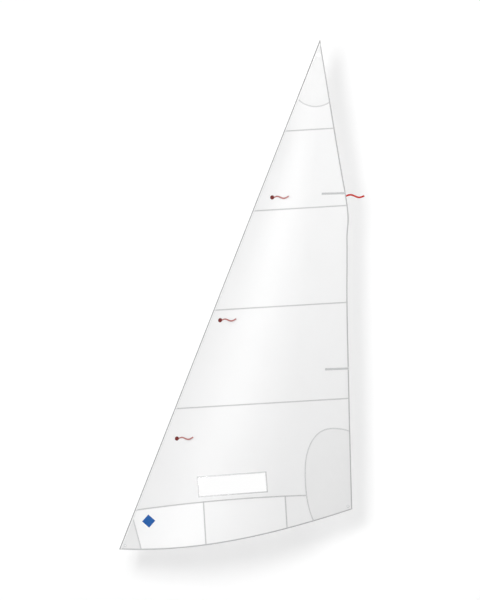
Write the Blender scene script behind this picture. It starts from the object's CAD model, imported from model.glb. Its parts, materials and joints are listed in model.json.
"""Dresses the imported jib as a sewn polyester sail, filled by the wind and seen square from its port side.

Metres, +Z up, +X aft, -Y to port. Every cloth lies on one cambered surface. Its plan is drawn in the flat with two
numbers: s runs aft along the seams and d is the distance square to them, both from the tack.
"""

from __future__ import annotations

import json
import logging
import math
from dataclasses import dataclass, field, replace
from enum import Enum
from functools import partial
from typing import Callable

import bpy
import numpy as np
from mathutils import Matrix


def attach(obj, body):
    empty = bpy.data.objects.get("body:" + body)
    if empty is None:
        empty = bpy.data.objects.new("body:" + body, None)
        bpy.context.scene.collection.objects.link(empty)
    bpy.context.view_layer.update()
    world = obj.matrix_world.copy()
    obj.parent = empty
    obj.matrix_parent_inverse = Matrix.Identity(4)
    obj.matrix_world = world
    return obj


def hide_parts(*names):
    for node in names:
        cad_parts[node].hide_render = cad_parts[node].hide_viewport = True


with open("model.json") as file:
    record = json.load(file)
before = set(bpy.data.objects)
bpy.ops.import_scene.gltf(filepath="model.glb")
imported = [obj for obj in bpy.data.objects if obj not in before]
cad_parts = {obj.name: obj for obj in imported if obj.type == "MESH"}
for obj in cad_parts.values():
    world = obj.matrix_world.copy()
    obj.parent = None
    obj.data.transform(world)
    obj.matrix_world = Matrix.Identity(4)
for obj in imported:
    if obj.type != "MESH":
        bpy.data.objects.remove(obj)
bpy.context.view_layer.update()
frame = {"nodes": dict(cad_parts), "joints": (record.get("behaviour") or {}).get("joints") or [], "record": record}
log = logging.getLogger("jib")

Array = np.ndarray
Colour = tuple[float, float, float]
ROUNDS = 12  # how often two conditions are put into each other to find the point where both hold


class Side(Enum):
    """The two faces of the sail, by the sign of the way that each one faces along Y."""

    PORT = -1.0
    STARBOARD = 1.0

    @property
    def word(self) -> str:
        """The side's name as node names spell it."""
        return self.name.lower()


class Edge(Enum):
    """The four edges of a cloth's plan, in the order that the edge attribute keeps them."""

    LOW = 0
    HIGH = 1
    FORWARD = 2
    AFT = 3


# Shader nodes


class Value:
    """A node's output socket that can be used in sums, as 1 - mask or mask * 0.3."""

    def __init__(self, board: Board, socket: bpy.types.NodeSocket) -> None:
        """Keeps the socket and the board it is on."""
        self.board = board
        self.socket = socket

    def _sum(self, operation: str, first: Value | float, second: Value | float = 0.0, clamp: bool = False) -> Value:
        """One Math node's result, held between 0 and 1 if it is clamped."""
        return self.board.add("ShaderNodeMath", {"operation": operation, "use_clamp": clamp}, {0: first, 1: second})

    def __add__(self, other: Value | float) -> Value:
        """Sum."""
        return self._sum("ADD", self, other)

    __radd__ = __add__

    def __sub__(self, other: Value | float) -> Value:
        """Difference."""
        return self._sum("SUBTRACT", self, other)

    def __rsub__(self, other: float) -> Value:
        """Difference from a number."""
        return self._sum("SUBTRACT", other, self)

    def __mul__(self, other: Value | float) -> Value:
        """Product."""
        return self._sum("MULTIPLY", self, other)

    __rmul__ = __mul__

    def __truediv__(self, other: Value | float) -> Value:
        """Quotient."""
        return self._sum("DIVIDE", self, other)

    def __abs__(self) -> Value:
        """Size without its sign."""
        return self._sum("ABSOLUTE", self)

    def swing(self, span: float) -> Value:
        """Runs up from 0 to span and back down, over and over."""
        return self._sum("PINGPONG", self, span)

    def most(self, other: Value | float) -> Value:
        """The larger of two."""
        return self._sum("MAXIMUM", self, other)

    def least(self, other: Value | float) -> Value:
        """The smaller of two."""
        return self._sum("MINIMUM", self, other)

    def held(self) -> Value:
        """Kept between 0 and 1."""
        return self._sum("ADD", self, clamp=True)

    def wave(self, length: float) -> Value:
        """A sine, from -1 to 1, that repeats at each length."""
        return self._sum("SINE", self * (2 * math.pi / length))

    def root(self) -> Value:
        """Square root."""
        return self._sum("SQRT", self)

    def angle(self, up: Value) -> Value:
        """The angle of a point whose two places are this and up, in radians."""
        return self._sum("ARCTAN2", up, self)


class Board:
    """The nodes of one material, or of the world."""

    def __init__(self, owner: str | bpy.types.World) -> None:
        """Starts empty.

        Args:
            owner: a new material's name, or the world.
        """
        self.owner = bpy.data.materials.new(owner) if isinstance(owner, str) else owner
        self.owner.use_nodes = True
        self.tree = self.owner.node_tree
        self.tree.nodes.clear()

    def add(
        self, kind: str, settings: dict[str, object] | None = None, sockets: dict[int | str, object] | None = None,
        out: int | str = 0,
    ) -> Value:
        """Adds a node.

        Args:
            kind: the node's type.
            settings: its properties, set first.
            sockets: for each input, a number, a colour, or the value that feeds it.
            out: which output to hand back.

        Returns:
            That output.
        """
        node = self.tree.nodes.new(kind)
        for name, setting in (settings or {}).items():
            setattr(node, name, setting)
        for name, fed in (sockets or {}).items():
            socket = node.inputs[name]
            if isinstance(fed, Value):
                self.tree.links.new(fed.socket, socket)
            else:
                socket.default_value = (*fed, 1.0) if socket.type == "RGBA" else fed
        return Value(self, node.outputs[out])

    def part(self, whole: Value, axis: int) -> Value:
        """One number of a vector: 0 is x, 1 is y and 2 is z."""
        return self.add("ShaderNodeSeparateXYZ", None, {0: whole}, axis)

    def place(self) -> Value:
        """Object coordinates."""
        return self.add("ShaderNodeTexCoord", out="Object")

    def plan(self) -> tuple[Value, Value, Value]:
        """The piece's own plan as a vector, and its two numbers."""
        both = self.add("ShaderNodeUVMap", {"uv_map": "plan"})
        return both, self.part(both, 0), self.part(both, 1)

    def insets(self) -> list[Value]:
        """Distances from the piece's edges, in the order of Edge."""
        three, aft = (self.add("ShaderNodeAttribute", {"attribute_name": "edges"}, out=o) for o in ("Color", "Alpha"))
        return [*(self.part(three, i) for i in range(3)), aft]

    def mix(self, share: Value | float, first: Value | Colour, second: Value | Colour) -> Value:
        """Mixes two colours, share being how much of the second."""
        return self.add("ShaderNodeMix", {"data_type": "RGBA"}, {0: share, 6: first, 7: second}, 2)

    def noise(self, scale: float, detail: float = 2.0, where: Value | None = None) -> Value:
        """Soft noise from 0 to 1 with this many cells to the metre."""
        return self.add("ShaderNodeTexNoise", None, {"Vector": where or self.place(), "Scale": scale, "Detail": detail})

    def streaks(self, where: Value, cells: tuple[float, float, float], detail: float = 1.0) -> Value:
        """Noise from 0 to 1 with its own number of cells to the metre along each axis."""
        return self.noise(1.0, detail, self.add("ShaderNodeMapping", None, {"Vector": where, "Scale": cells}))

    def surface(self, colour: Value | Colour, roughness: Value, height: Value, **fixed: float) -> Value:
        """Adds the main shader.

        Args:
            colour: its colour.
            roughness: its roughness.
            height: the relief on it, in metres.
            fixed: what stays the same all over it: gloss, coat, metallic, ior or clear.

        Returns:
            The shader.
        """
        names = {"gloss": "Specular IOR Level", "coat": "Coat Weight", "clear": "Transmission Weight",
                 "metallic": "Metallic", "ior": "IOR"}
        normal = self.add("ShaderNodeBump", None, {"Height": height, "Distance": 1.0, "Strength": 1.0})
        sockets = {"Base Color": colour, "Roughness": roughness, "Normal": normal}
        sockets |= {names[name]: number for name, number in fixed.items()}
        return self.add("ShaderNodeBsdfPrincipled", None, sockets)

    def blend(self, share: Value | float, first: Value, second: Value) -> Value:
        """Mixes two shaders, share being how much of the second."""
        return self.add("ShaderNodeMixShader", None, {0: share, 1: first, 2: second})

    def lit_through(self, share: float, shader: Value, colour: Colour) -> Value:
        """A shader that gives up this share of itself to light that comes through from behind."""
        return self.blend(share, shader, self.add("ShaderNodeBsdfTranslucent", None, {"Color": colour}))

    def close(self, surface: Value) -> bpy.types.Material | bpy.types.World:
        """Feeds the output.

        Args:
            surface: the finished shader.

        Returns:
            What owns the nodes.
        """
        kind = "World" if isinstance(self.owner, bpy.types.World) else "Material"
        self.tree.links.new(surface.socket, self.tree.nodes.new(f"ShaderNodeOutput{kind}").inputs["Surface"])
        return self.owner


# Finishes


class Finish:
    """A finish, which draws its nodes on the board of each new material.

    In every finish, uneven is how much the roughness varies, a relief or height is in metres, a name that ends in
    cells is how many cells of a noise go to the metre, and crisp is how hard the edge of a mark is.
    """

    def dress(self, name: str) -> bpy.types.Material:
        """Makes the material of that name."""
        board = Board(name)
        return board.close(self.draw(board))

    def draw(self, board: Board) -> Value:
        """Draws the finish on a board, and hands back its shader."""
        raise NotImplementedError


def zigzag(along: Value, aside: Value, pitch: float, lean: float, thread: float = 0.0005) -> Value:
    """A row of stitches: 1 on a line that swings about aside = 0 at this pitch and lean, 0 a thread's width off."""
    return ((thread - abs(aside - (along.swing(pitch) - pitch / 2) * lean)) * (2 / thread)).held()


@dataclass(frozen=True)
class Stitching:
    """Two rows of zigzag stitches along a sewn lap, in metres."""

    lap: float = 0.012
    pitch: float = 0.0032
    lean: float = 0.6875
    thread: float = 0.00055
    crisp: float = 2500.0
    colour: Colour = (0.25, 0.25, 0.255)
    band: Colour = (0.53, 0.53, 0.535)

    def rows(self, along: Value, inset: Value) -> Value:
        """1 on the thread and 0 beside it, a row lying a quarter of the lap in from each of its sides."""
        row = inset.swing(self.lap / 2) - self.lap / 4
        return zigzag(along, row, self.pitch, self.lean, self.thread) * self.within(inset)

    def within(self, inset: Value) -> Value:
        """1 from the edge to the lap's far side, and 0 elsewhere."""
        return ((self.lap - inset) * self.crisp).held() * (inset * self.crisp + 1.0).held()


@dataclass(frozen=True)
class ClothFinish(Finish):
    """Resin-filled woven polyester: nearly white, low sheen, faintly creased, and a little light comes through.

    The corners are the three points, as s, d and reach, from which the pull on the cloth draws fine creases, fan of
    them to the radian. The sewn edges carry stitches. On a round seam the distance along them is kept as the second
    of the four edge numbers.
    """

    colour: Colour = (0.80, 0.80, 0.80)
    shade: Colour = (0.775, 0.775, 0.777)
    mottle_cells: float = 2.4
    roughness: float = 0.54
    uneven: float = 0.12
    rub_cells: float = 30.0
    gloss: float = 0.74
    see_through: float = 0.16
    crinkle: float = 0.0015
    crinkle_cells: float = 7.0
    pucker: float = 0.00050
    pucker_cells: tuple[tuple[float, float, float], ...] = ((52.0, 14.0, 1.0), (27.0, 7.0, 1.0))
    gathered: float = 0.05
    pull: float = 0.0010
    fan: float = 16.0
    weave: float = 0.0009
    weave_share: float = 0.05
    weave_height: float = 0.000014
    lap_height: float = 0.00012
    thread_height: float = 0.0003
    corners: tuple[tuple[float, float, float], ...] = ()
    stitching: Stitching = field(default_factory=Stitching)
    sewn: tuple[Edge, ...] = ()
    round_seam: bool = False

    def toned(self, tone: float) -> ClothFinish:
        """The same cloth from a roll that is this much whiter."""
        colour, shade = (tuple(tone * part for part in kept) for kept in (self.colour, self.shade))
        return replace(self, colour=colour, shade=shade)

    def pulls(self, board: Board, along: Value, square: Value) -> Value:
        """Creases that run out from the corners: noise over the angle about each, gone within its reach.

        Args:
            board: where the nodes go.
            along: s.
            square: d.

        Returns:
            A height in metres.
        """
        height = along * 0.0
        for s, d, reach in self.corners:
            across, up = along - s, square - d
            fade = (1 - (across * across + up * up).root() / reach).held()
            turn = {"W": across.angle(up) * self.fan, "Scale": 1.0, "Detail": 1.0}
            crease = board.add("ShaderNodeTexNoise", {"noise_dimensions": "1D"}, turn)
            height = height + crease * fade * fade * self.pull
        return height

    def draw(self, board: Board) -> Value:
        """Draws the weave and creases, and along each sewn edge a puckered lap with its stitches.

        Args:
            board: where the nodes go.

        Returns:
            The shader.
        """
        plan, along, square = board.plan()
        insets = board.insets()
        thread, band, near = along * 0.0, along * 0.0, along * 0.0
        for edge in self.sewn:
            run = along if edge in (Edge.LOW, Edge.HIGH) else square
            run = insets[Edge.HIGH.value] if self.round_seam else run
            inset = insets[edge.value]
            thread = thread.most(self.stitching.rows(run, inset))
            band = band.most(self.stitching.within(inset))
            near = near.most((1 - abs(inset - self.stitching.lap / 2) / self.gathered).held())
        fine, broad = (board.streaks(plan, cells) for cells in self.pucker_cells)
        weave = along.wave(self.weave) * square.wave(self.weave)
        height = board.noise(self.crinkle_cells, detail=4.0) * self.crinkle
        height = height + (fine + broad) * near * near * self.pucker
        height = height + self.pulls(board, along, square) + weave * self.weave_height
        height = height + band * self.lap_height + thread * self.thread_height
        colour = board.mix(board.noise(self.mottle_cells, detail=3.0), self.shade, self.colour)
        colour = board.mix(weave * self.weave_share + self.weave_share, colour, self.stitching.band)
        colour = board.mix(band, colour, self.stitching.band)
        colour = board.mix(thread, colour, self.stitching.colour)
        roughness = board.noise(self.rub_cells) * self.uneven + (self.roughness - self.uneven / 2)
        shader = board.surface(colour, roughness, height, gloss=self.gloss)
        return board.lit_through(self.see_through, shader, self.colour) if self.see_through else shader


@dataclass(frozen=True)
class TapeFinish(Finish):
    """Narrow woven tape with a twilled face, a row of zigzag stitches, and a fold and sealed ends of another colour.

    The ridges are where the laps under it show through, in metres along it, and lean is how far each of them shifts
    for each metre in from the edge. The width is the leaf's.
    """

    colour: Colour = (0.62, 0.62, 0.625)
    groove: Colour = (0.55, 0.55, 0.555)
    thread: Colour = (0.38, 0.38, 0.385)
    front: Colour = (0.34, 0.34, 0.345)
    front_width: float = 0.0085
    sealed: float = 0.0
    ridges: tuple[float, ...] = ()
    lean: float = 0.0
    lap: float = 0.012
    roughness: float = 0.6
    uneven: float = 0.1
    gloss: float = 0.4
    soil: float = 0.3
    soil_cells: float = 9.0
    rib: float = 0.0014
    ribbed: float = 0.6
    phase: float = 10.0
    row: float = 0.0036
    pitch: float = 0.003
    swing: float = 1.2
    twill_height: float = 0.00012
    thread_height: float = 0.0003
    ridge_height: float = 0.0002
    ridge_share: float = 0.7
    crisp: float = 2500.0
    fold_crisp: float = 3000.0
    width: float = 0.012

    def draw(self, board: Board) -> Value:
        """Draws the twill, the ridges over the laps, the fold and the sealed ends, and the stitches.

        Args:
            board: where the nodes go.

        Returns:
            The shader.
        """
        _, along, inset = board.plan()
        ways = (along + inset, along - inset + self.phase)
        ribs, cross = ((run.swing(self.rib / 2) * (2 / self.rib)) for run in ways)
        twill = ribs * self.ribbed + cross * (1 - self.ribbed)
        thread = zigzag(along, inset - (self.width - self.row), self.pitch, self.swing)
        face = board.mix(twill, self.groove, self.colour)
        face = board.mix(board.noise(self.soil_cells, detail=3.0) * self.soil, face, self.groove)
        ridge = along * 0.0
        for place in self.ridges:
            ridge = ridge.most(((self.lap / 2 - abs(along + inset * self.lean - place)) * self.crisp).held())
        face = board.mix(ridge * self.ridge_share, face, self.thread)
        fold = (self.front_width - inset).most(self.sealed - board.insets()[0])
        face = board.mix((fold * self.fold_crisp).held(), face, self.front)
        face = board.mix(thread, face, self.thread)
        height = twill * self.twill_height + thread * self.thread_height + ridge * self.ridge_height
        return board.surface(face, twill * -self.uneven + self.roughness, height, gloss=self.gloss)


@dataclass(frozen=True)
class RibbonFinish(Finish):
    """Spun nylon ribbon: fine warp lines, a deeper selvedge, and a little light comes through."""

    colour: Colour
    deep: Colour
    width: float = 0.013
    see_through: float = 0.08
    warp: float = 0.0005
    warp_share: float = 0.25
    weft: float = 0.0007
    weft_scale: float = 1400.0
    weft_share: float = 0.2
    selvedge: float = 0.4
    selvedge_crisp: float = 10.0
    selvedge_share: float = 0.4
    soil: float = 0.2
    soil_cells: float = 50.0
    phase: float = 1.0
    roughness: float = 0.6
    uneven: float = 0.1
    gloss: float = 0.2
    relief: float = 0.00003

    def draw(self, board: Board) -> Value:
        """Draws the ribbon on its own plan, which runs along it and out from its middle.

        Args:
            board: where the nodes go.

        Returns:
            The shader.
        """
        _, along, aside = board.plan()
        lines, bars = (aside + self.phase).swing(self.warp) / self.warp, along.swing(self.weft) * self.weft_scale
        rim = ((abs(aside) - self.selvedge * self.width) * (self.selvedge_crisp / self.width)).held()
        share = lines * self.warp_share + bars * self.weft_share + rim * self.selvedge_share
        share = (share + board.noise(self.soil_cells) * self.soil).held()
        colour = board.mix(share, self.colour, self.deep)
        roughness, height = lines * self.uneven + self.roughness, (lines + bars) * self.relief
        shader = board.surface(colour, roughness, height, gloss=self.gloss)
        return board.lit_through(self.see_through, shader, self.colour)


@dataclass(frozen=True)
class DotFinish(Finish):
    """Adhesive-backed cloth: a coarse weave, worn paler toward its rim."""

    colour: Colour
    worn: Colour
    weave: float = 0.0012
    weave_share: float = 0.08
    wear: float = 0.06
    rim: float = 0.90
    rim_crisp: float = 8.0
    rim_wear: float = 0.6
    fleck_cells: float = 220.0
    roughness: float = 0.62
    uneven: float = 0.05
    gloss: float = 0.3
    relief: float = 0.00004

    def draw(self, board: Board) -> Value:
        """Draws the dot. Its plan holds the distance from the middle as a share of the radius.

        Args:
            board: where the nodes go.

        Returns:
            The shader.
        """
        place, out = board.place(), board.plan()[1]
        weave = board.part(place, 0).wave(self.weave) * board.part(place, 2).wave(self.weave)
        flecks = board.noise(self.fleck_cells, detail=3.0)
        rim = ((out - self.rim) * self.rim_crisp).held() * flecks * self.rim_wear
        colour = board.mix((rim + weave * self.weave_share + self.wear).held(), self.colour, self.worn)
        return board.surface(colour, self.roughness - weave * self.uneven, weave * self.relief, gloss=self.gloss)


@dataclass(frozen=True)
class FilmFinish(Finish):
    """Clear soft vinyl: passes nearly all light, gently uneven, its hem sewn down over the cloth behind it."""

    tint: Colour = (0.995, 0.995, 0.995)
    hem: Colour = (0.68, 0.68, 0.685)
    bending: float = 1.2
    relief: float = 0.001
    wave_cells: float = 5.0
    roughness: float = 0.02
    uneven: float = 0.02
    hem_roughness: float = 0.3
    hem_uneven: float = 0.1
    hem_share: float = 0.8
    thread_share: float = 0.2
    stitching: Stitching = field(default_factory=Stitching)

    def draw(self, board: Board) -> Value:
        """Draws the film: glass over the opening, stitched along its four edges.

        Args:
            board: where the nodes go.

        Returns:
            The shader.
        """
        _, along, square = board.plan()
        low, high, forward, aft = board.insets()
        across, upright = low.least(high), forward.least(aft)
        thread = self.stitching.rows(along, across).most(self.stitching.rows(square, upright))
        wave = board.noise(self.wave_cells, detail=1.0)
        roughness, height = wave * self.uneven + self.roughness, wave * self.relief
        clear = board.surface(self.tint, roughness, height, ior=self.bending, clear=1.0)
        sewn = board.mix(thread, self.hem, self.stitching.colour)
        sockets = {"Base Color": sewn, "Roughness": wave * self.hem_uneven + self.hem_roughness}
        haze = board.add("ShaderNodeBsdfPrincipled", None, sockets)
        hem = self.stitching.within(across.least(upright))
        return board.blend((hem * self.hem_share + thread * self.thread_share).held(), clear, haze)


@dataclass(frozen=True)
class MetalFinish(Finish):
    """Pressed stainless steel: fine scratches and a duller stain in places."""

    colour: Colour = (0.66, 0.67, 0.68)
    dull: Colour = (0.48, 0.485, 0.49)
    roughness: float = 0.22
    uneven: float = 0.18
    stain: float = 0.7
    stain_cells: float = 160.0
    scratches: float = 0.2
    scratch_cells: float = 900.0
    relief: float = 0.00002

    def draw(self, board: Board) -> Value:
        """Draws the metal from two sizes of noise.

        Args:
            board: where the nodes go.

        Returns:
            The shader.
        """
        scratch = board.noise(self.scratch_cells, detail=4.0)
        share = board.noise(self.stain_cells, detail=3.0) * self.stain + scratch * self.scratches
        colour = board.mix(share.held(), self.colour, self.dull)
        roughness = scratch * self.uneven + self.roughness
        return board.surface(colour, roughness, scratch * self.relief, metallic=1.0)


@dataclass(frozen=True)
class RopeFinish(Finish):
    """Braided polyester: two sets of strands crossing at a steady pitch along the rope."""

    colour: Colour = (0.74, 0.74, 0.73)
    gap: Colour = (0.40, 0.40, 0.40)
    pitch: float = 0.007
    lean: float = 0.8
    phase: float = 1.0
    roughness: float = 0.75
    uneven: float = 0.1
    relief: float = 0.0004

    def draw(self, board: Board) -> Value:
        """Draws the braid from height along the rope and side-to-side place.

        Args:
            board: where the nodes go.

        Returns:
            The shader.
        """
        place = board.place()
        run, side = board.part(place, 2) + self.phase, board.part(place, 1) * self.lean
        one, other = ((way.swing(self.pitch / 4) * (4 / self.pitch)) for way in (run + side, run - side))
        strand = one.most(other)
        colour = board.mix(strand.held(), self.gap, self.colour)
        return board.surface(colour, self.roughness - strand * self.uneven, strand * self.relief)


@dataclass(frozen=True)
class BattenFinish(Finish):
    """Pultruded glass-fibre strip: long fibres in clear resin, rubbed duller where it slides."""

    colour: Colour = (0.42, 0.43, 0.43)
    fibre: Colour = (0.60, 0.61, 0.60)
    cells: tuple[float, float, float] = (12.0, 900.0, 900.0)
    rub_cells: float = 40.0
    roughness: float = 0.28
    uneven: float = 0.25
    coat: float = 0.3
    relief: float = 0.00005

    def draw(self, board: Board) -> Value:
        """Draws the fibres, long along X.

        Args:
            board: where the nodes go.

        Returns:
            The shader.
        """
        fibres = board.streaks(board.place(), self.cells, detail=4.0)
        colour = board.mix(fibres, self.colour, self.fibre)
        roughness = board.noise(self.rub_cells, detail=3.0) * self.uneven + self.roughness
        return board.surface(colour, roughness, fibres * self.relief, coat=self.coat)


@dataclass(frozen=True)
class PocketFinish(Finish):
    """A pocket's cloth: grey where the batten fills it, white hems with a row of stitches along each."""

    colour: Colour = (0.80, 0.80, 0.80)
    filled: Colour = (0.43, 0.435, 0.44)
    soiled: Colour = (0.42, 0.42, 0.43)
    thread: Colour = (0.25, 0.25, 0.255)
    half: float = 0.0075
    row: float = 0.0026
    pitch: float = 0.0025
    swing: float = 0.8
    spill: float = 0.0006
    crisp: float = 1500.0
    twill: float = 0.0006
    twill_scale: float = 1600.0
    soil: float = 0.3
    soil_cells: float = 40.0
    roughness: float = 0.5
    uneven: float = 0.08
    gloss: float = 0.4
    twill_height: float = 0.00005
    thread_height: float = 0.0002

    def draw(self, board: Board) -> Value:
        """Draws the pocket on its own plan, which runs along it and out from its middle.

        Args:
            board: where the nodes go.

        Returns:
            The shader.
        """
        _, along, aside = board.plan()
        aside = abs(aside)
        thread = zigzag(along, aside - (self.half + self.row), self.pitch, self.swing)
        filled = ((self.half + self.spill - aside) * self.crisp).held()
        twill = (along + aside).swing(self.twill) * self.twill_scale
        colour = board.mix(filled, self.colour, self.filled)
        colour = board.mix(board.noise(self.soil_cells, detail=3.0) * self.soil, colour, self.soiled)
        colour = board.mix(thread, colour, self.thread)
        height = twill * self.twill_height + thread * self.thread_height
        return board.surface(colour, twill * self.uneven + self.roughness, height, gloss=self.gloss)


@dataclass(frozen=True)
class StickerFinish(Finish):
    """Printed adhesive film in one colour, slightly scuffed."""

    colour: Colour = (0.004, 0.080, 0.30)
    scuffed: Colour = (0.05, 0.15, 0.36)
    scuff_cells: float = 300.0
    blot_cells: float = 28.0
    scuff_from: float = 0.26
    crisp: float = 3.0
    roughness: float = 0.3
    uneven: float = 0.15
    coat: float = 0.05
    gloss: float = 0.25
    relief: float = 0.00002

    def draw(self, board: Board) -> Value:
        """Draws scuffs where two sizes of noise meet.

        Args:
            board: where the nodes go.

        Returns:
            The shader.
        """
        scuff = board.noise(self.scuff_cells, detail=4.0)
        share = ((scuff * board.noise(self.blot_cells) - self.scuff_from) * self.crisp).held()
        colour = board.mix(share, self.colour, self.scuffed)
        roughness, height = scuff * self.uneven + self.roughness, scuff * self.relief
        return board.surface(colour, roughness, height, coat=self.coat, gloss=self.gloss)


# The sail's form


def unit(vector: Array) -> Array:
    """The vector, or each row of vectors, at length 1."""
    return vector / np.linalg.norm(vector, axis=-1, keepdims=True)


def right_of(way: Array) -> Array:
    """The right-hand side of someone who walks along a way in the plane of x and z."""
    return np.array((way[1], -way[0]))


def smooth(share: Array) -> Array:
    """Eases a share from 0 to 1, level at both ends: 3t² - 2t³."""
    return share * share * (3 - 2 * share)


@dataclass
class SailPlan:
    """The plan form, the layers and the filled surface that every cloth is laid on.

    Inside each strip of heights the surface has no cross bend, because a flat ring or a straight batten lies there.
    An edge's way from a corner is taken over the share of it that is near. The places are where an edge is looked up.
    """

    luff: float = 5.150
    leech: float = 4.425
    foot: float = 2.222
    rake: float = math.radians(21.5)
    foot_round: float = 0.103
    foot_skew: float = 0.4
    roach: tuple[tuple[float, float], ...] = (
        (0.000, 0.000), (0.165, 0.031), (0.300, 0.059), (0.440, 0.089), (0.552, 0.124), (0.582, 0.133),
        (0.612, 0.152), (0.673, 0.141), (0.701, 0.127), (0.830, 0.070), (1.000, 0.000),
    )
    leech_bow: float = 0.44
    least_chord: float = 0.12
    leech_places: tuple[float, float, int] = (-0.02, 1.02, 1041)
    foot_places: tuple[float, float, int] = (-0.04, 1.04, 1081)
    head_places: tuple[float, float, int] = (4.2, 4.7, 5001)
    near: float = 0.03
    entry_slope: float = 0.45
    deepest: float = 0.40
    run: float = 0.66
    twist: float = 0.12
    fade: float = 0.90
    seam_rise: float = math.radians(3.4)
    cloth: float = 0.00025
    patch: float = 0.0006
    tape: float = 0.0004
    gap: float = 0.0003
    rope: float = 0.003
    row_step: float = 0.21
    strips: tuple[tuple[float, float], ...] = ((-0.12, 4.87),)

    def __post_init__(self) -> None:
        """Works out the corners, the edges' ways, and the surface's entry slope and twist by height."""
        self.luff_way = np.array((math.sin(self.rake), math.cos(self.rake)))
        self.luff_aft = right_of(self.luff_way)
        self.head = self.luff * self.luff_way
        along = (self.foot**2 - self.leech**2 + self.luff**2) / (2 * self.luff)
        self.clew = along * self.luff_way + math.sqrt(self.foot**2 - along**2) * self.luff_aft
        self.way = np.array((math.cos(self.seam_rise), math.sin(self.seam_rise)))
        self.square = -right_of(self.way)
        self.bead = self.rope + self.gap + self.tape
        self.luff_inset = self.bead + self.rope + 2 * self.gap
        self.fold_inset = self.tape + self.gap
        self.heights, self.entries, self.twists = self.fill()

    def fill(self) -> tuple[Array, Array, Array]:
        """Tables of entry slope and twist by height, held even across the strips.

        Between two strips each value is worked out at evenly spaced rows and runs straight from row to row; the whole
        table is then smoothed over a hand's width, which keeps it within the cloth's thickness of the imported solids.

        Returns:
            The heights, and the entry slope and twist at each.
        """
        past, step, reach, spread, hair = 0.4, 0.004, 30, 9.0, 1e-6
        edges = [edge for strip in self.strips for edge in strip]
        rows = [edges[0]]
        for low, high in zip(edges, edges[1:]):
            steps = 1 if (low, high) in self.strips else max(1, math.ceil((high - low) / self.row_step))
            rows.extend(np.linspace(low, high, steps + 1)[1:])
        rows = np.array(rows)
        settled = rows.copy()
        for low, high in self.strips:
            settled[(rows > low - hair) & (rows < high + hair)] = (low + high) / 2
        entry = self.entry_slope * smooth(np.clip((self.strips[-1][0] - settled) / self.fade, 0, 1))
        heights = np.arange(rows[0] - past, rows[-1] + past, step)
        kernel = np.exp(-0.5 * (np.arange(-reach, reach + 1) / spread) ** 2)
        twist = self.twist * self.up(settled)
        evened = (np.pad(np.interp(heights, rows, table), reach, mode="edge") for table in (entry, twist))
        return heights, *(np.convolve(padded, kernel / kernel.sum(), mode="valid") for padded in evened)

    def up(self, z: Array) -> Array:
        """Height as a share, 0 at the clew and 1 at the head."""
        return np.clip((z - self.clew[1]) / (self.head[1] - self.clew[1]), 0, 1)

    def side_at(self, x: Array, z: Array) -> Array:
        """The surface's sideways place: a parabola from the luff to where the run starts, then straight.

        With u the share of the chord from the luff, the section is u - u²/(2·deepest), times the entry slope, plus
        twist times u, all times the chord, and it stands out to port.

        Args:
            x: places fore and aft.
            z: heights.

        Returns:
            Places athwart.
        """
        share = self.up(z)
        forward = z * math.tan(self.rake) + self.bead / math.cos(self.rake)
        aft = self.clew[0] + share * (self.head[0] - self.clew[0]) + self.leech_bow * share * (1 - share)
        chord = np.maximum(aft - forward, self.least_chord)
        u = (x - forward) / chord
        bent = np.clip(u, 0, self.run)
        curve = bent - bent**2 / (2 * self.deepest)
        straight = (u - bent) * np.where(u > 0, 1 - self.run / self.deepest, 1)
        entry, twist = (np.interp(z, self.heights, table) for table in (self.entries, self.twists))
        return -chord * (entry * (curve + straight) + twist * u)

    def lay(self, flat: Array, face: Array | float = 0.0) -> Array:
        """Lifts flat points (x, z) on to the surface, moved sideways by face."""
        x, z = flat[..., 0], flat[..., 1]
        return np.stack([x, self.side_at(x, z) + face, z], axis=-1)

    def flat_of(self, s: Array, d: Array) -> Array:
        """Flat points from distances along and square to the seams."""
        return s[..., None] * self.way + d[..., None] * self.square

    def plan_of(self, flat: Array) -> tuple[Array, Array]:
        """Distances along and square to the seams, from flat points."""
        return flat @ self.way, flat @ self.square

    def foot_point(self, share: Array, inset: Array | float = 0.0) -> Array:
        """A parabola on the chord that leans forward by its skew.

        Args:
            share: places along the foot, 0 at the tack and 1 at the clew.
            inset: distance in from it.

        Returns:
            Flat points.
        """
        share = np.asarray(share, float)
        bulge = self.foot_round * 4 * share * (1 - share) * (1 + self.foot_skew * (0.5 - share))
        return share[..., None] * self.clew + (bulge - inset)[..., None] * right_of(unit(self.clew))

    def leech_point(self, share: Array, inset: Array | float = 0.0) -> Array:
        """A cubic through the roach table, with its slopes between; straight on past both ends.

        Args:
            share: places along the leech, 0 at the clew and 1 at the head.
            inset: distance in from it.

        Returns:
            Flat points.
        """
        share = np.asarray(share, float)
        places, values = np.array(self.roach).T
        slopes = np.gradient(values, places)
        i = np.clip(np.searchsorted(places, share) - 1, 0, len(places) - 2)
        step = places[i + 1] - places[i]
        t = (share - places[i]) / step
        start = (2 * t**3 - 3 * t**2 + 1) * values[i] + (t**3 - 2 * t**2 + t) * step * slopes[i]
        end = (3 * t**2 - 2 * t**3) * values[i + 1] + (t**3 - t**2) * step * slopes[i + 1]
        beyond = np.clip(share - 1, 0, None) * slopes[-1] + np.clip(share, None, 0) * slopes[0]
        stand = np.where((share >= 0) & (share <= 1), start + end, beyond)
        chord = self.head - self.clew
        return self.clew + share[..., None] * chord + (stand - inset)[..., None] * right_of(unit(chord))

    def luff_point(self, run: Array, inset: Array | float = 0.0) -> Array:
        """On a line along the luff, run metres above the tack."""
        run = np.asarray(run, float)
        return run[..., None] * self.luff_way + (inset + 0 * run)[..., None] * self.luff_aft

    def luff_s(self, d: Array, inset: float) -> Array:
        """Where the luff's line crosses the line at d, as s."""
        run = (d - inset * self.luff_aft @ self.square) / (self.luff_way @ self.square)
        return run * (self.luff_way @ self.way) + inset * (self.luff_aft @ self.way)

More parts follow.
